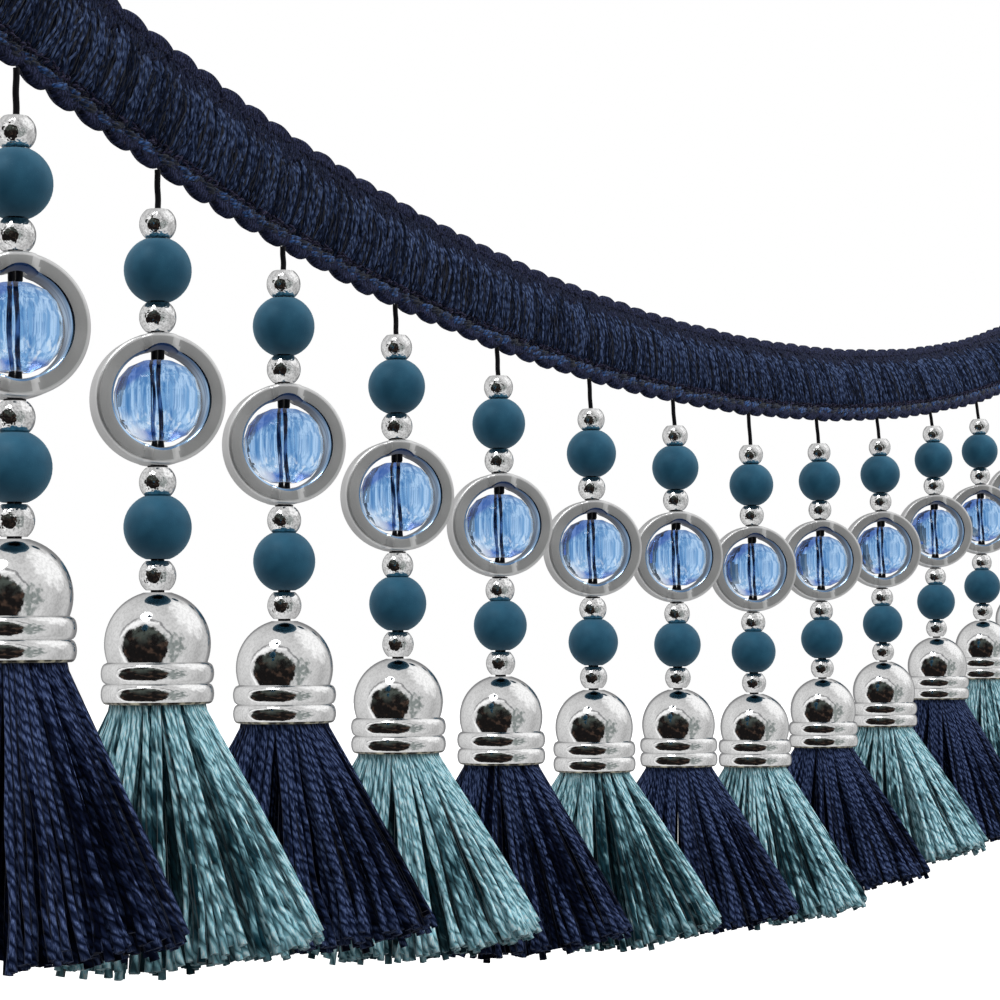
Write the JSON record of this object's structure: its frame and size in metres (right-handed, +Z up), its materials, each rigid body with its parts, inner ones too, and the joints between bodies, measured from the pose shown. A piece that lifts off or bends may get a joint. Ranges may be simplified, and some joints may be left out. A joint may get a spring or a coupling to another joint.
{
  "type": "beaded fringe trim",
  "caption": "Length of curtain trim hung in a swag: scalloped navy heading band with pendants of silver and teal beads, crystals in rings, and capped tassels.",
  "frame": {"origin": "middle of the heading band's top edge, where the trim is sewn or glued on and hangs from", "axes": "+X along the trim, +Z up, -Y out of the face that is seen"},
  "size_m": [0.4976, 0.0698, 0.159],
  "materials": {
    "band_yarn": "glossy loose rayon threads between crocheted chains, navy",
    "navy_yarn": "satin twisted rayon yarn, navy",
    "teal_yarn": "satin twisted rayon yarn, grey teal",
    "teal_bead": "rubberised matte, deep teal",
    "silver_plate": "bright silver plating on moulded beads and caps",
    "satin_ring": "satin silver-grey with a brighter rounded rim",
    "crystal": "clear faceted acrylic, pale blue",
    "cord": "black waxed cord"
  },
  "bodies": {
    "root": {"top_chain": "band_yarn", "heading_band": "band_yarn", "bottom_chain": "band_yarn", "strand_01": "teal_bead", "ring_01": "satin_ring", "cap_01": "silver_plate", "tassel_01": "navy_yarn", "strand_02": "teal_bead", "ring_02": "satin_ring", "cap_02": "silver_plate", "tassel_02": "teal_yarn", "strand_03": "teal_bead", "ring_03": "satin_ring", "cap_03": "silver_plate", "tassel_03": "navy_yarn", "strand_04": "teal_bead", "ring_04": "satin_ring", "cap_04": "silver_plate", "tassel_04": "teal_yarn", "strand_05": "teal_bead", "ring_05": "satin_ring", "cap_05": "silver_plate", "tassel_05": "navy_yarn", "strand_06": "teal_bead", "ring_06": "satin_ring", "cap_06": "silver_plate", "tassel_06": "teal_yarn", "strand_07": "teal_bead", "ring_07": "satin_ring", "cap_07": "silver_plate", "tassel_07": "navy_yarn", "strand_08": "teal_bead", "ring_08": "satin_ring", "cap_08": "silver_plate", "tassel_08": "teal_yarn", "strand_09": "teal_bead", "ring_09": "satin_ring", "cap_09": "silver_plate", "tassel_09": "navy_yarn", "strand_10": "teal_bead", "ring_10": "satin_ring", "cap_10": "silver_plate", "tassel_10": "teal_yarn", "strand_11": "teal_bead", "ring_11": "satin_ring", "cap_11": "silver_plate", "tassel_11": "navy_yarn", "strand_12": "teal_bead", "ring_12": "satin_ring", "cap_12": "silver_plate", "tassel_12": "teal_yarn", "strand_13": "teal_bead", "ring_13": "satin_ring", "cap_13": "silver_plate", "tassel_13": "navy_yarn"}
  },
  "joints": []
}
